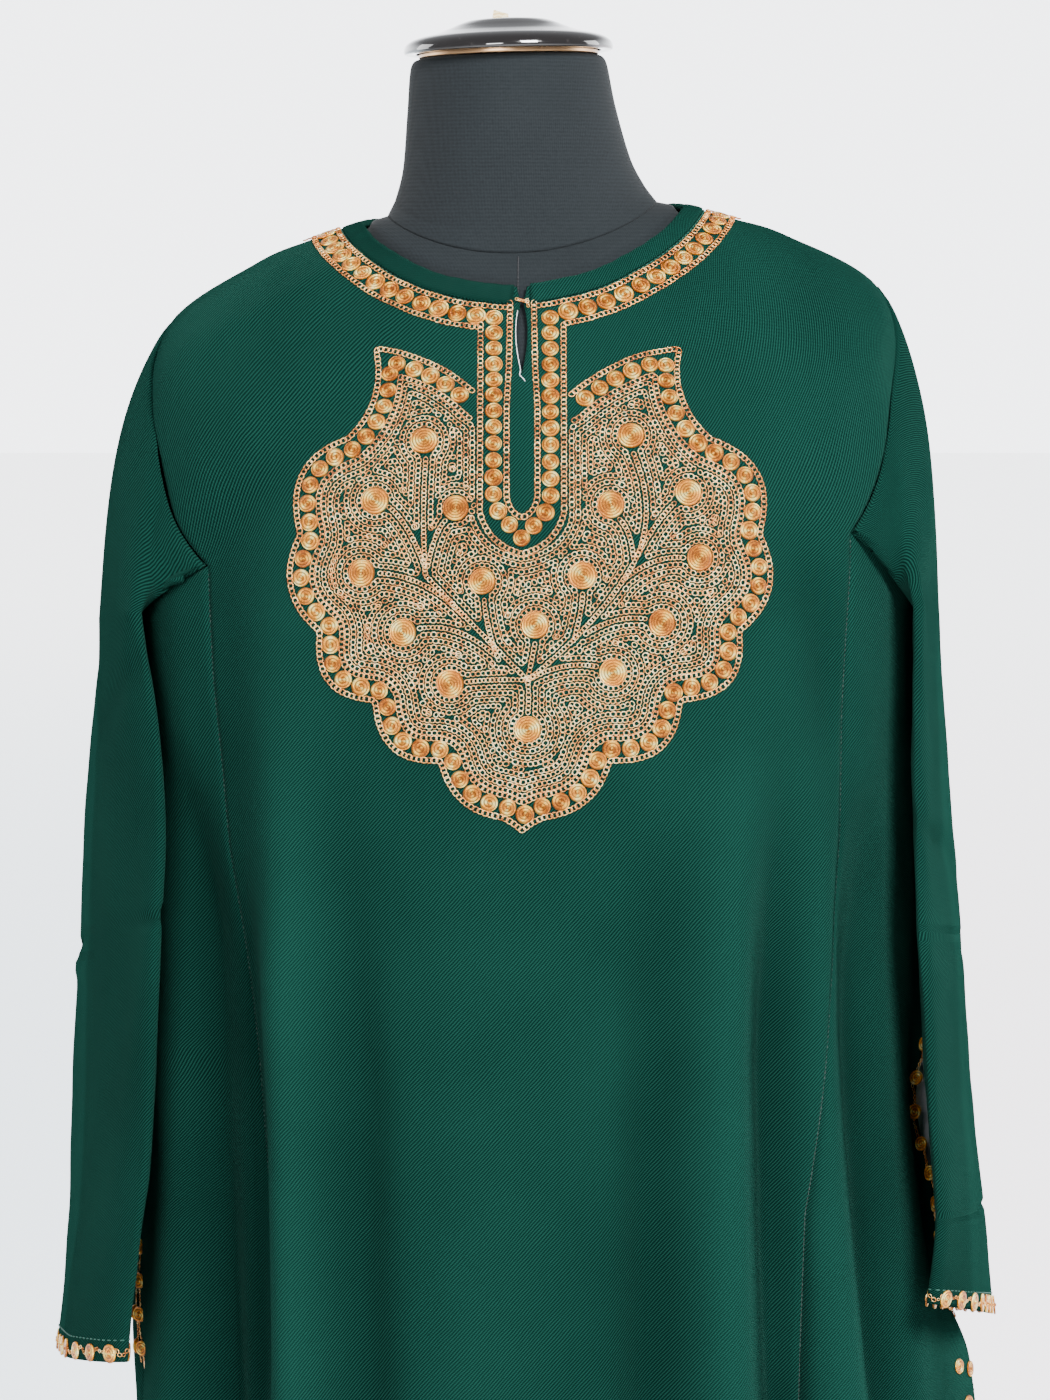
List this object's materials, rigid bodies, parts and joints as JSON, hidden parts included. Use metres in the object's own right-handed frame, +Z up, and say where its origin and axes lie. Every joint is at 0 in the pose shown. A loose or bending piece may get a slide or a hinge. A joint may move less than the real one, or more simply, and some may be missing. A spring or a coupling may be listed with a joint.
{
  "type": "pheran on a dress form",
  "caption": "Loose long-sleeved wool pheran, neck and chest worked in raised metal thread, worn on a limbless dress form on a pole and round base.",
  "frame": {"origin": "centre of the round base's underside, on the floor", "axes": "+Z up, the garment's front faces -Y, +X to the right as seen from the front"},
  "size_m": [0.5545, 0.4, 1.5125],
  "materials": {
    "green_wool": "fine wool twill, soft and matt with a faint sheen, dark bottle green",
    "gold_thread": "couched metal thread in antique gold and copper",
    "grey_lining": "plain brushed cotton, light grey",
    "form_jersey": "black jersey cover with fine ribs",
    "black_gloss": "polished black lacquer",
    "bronze_plate": "dark bronze, polished",
    "pale_wood": "bare pale wood",
    "steel": "satin steel tube",
    "black_iron": "black powder coat"
  },
  "bodies": {
    "root": {"front_panel": "green_wool", "back_panel": "green_wool", "left_front_gore": "green_wool", "left_back_gore": "green_wool", "right_front_gore": "green_wool", "right_back_gore": "green_wool", "left_sleeve": "green_wool", "right_sleeve": "green_wool", "neck_binding": "green_wool", "chest_leaf": "gold_thread", "placket_band": "gold_thread", "left_neck_band": "gold_thread", "right_neck_band": "gold_thread", "left_pocket_lining": "grey_lining", "right_pocket_lining": "grey_lining", "form_torso": "form_jersey", "form_neck": "form_jersey", "cap_dome": "black_gloss", "cap_plate": "bronze_plate", "cap_peg": "pale_wood", "pole": "steel", "form_collar": "black_iron", "base_plate": "black_iron"}
  },
  "joints": []
}
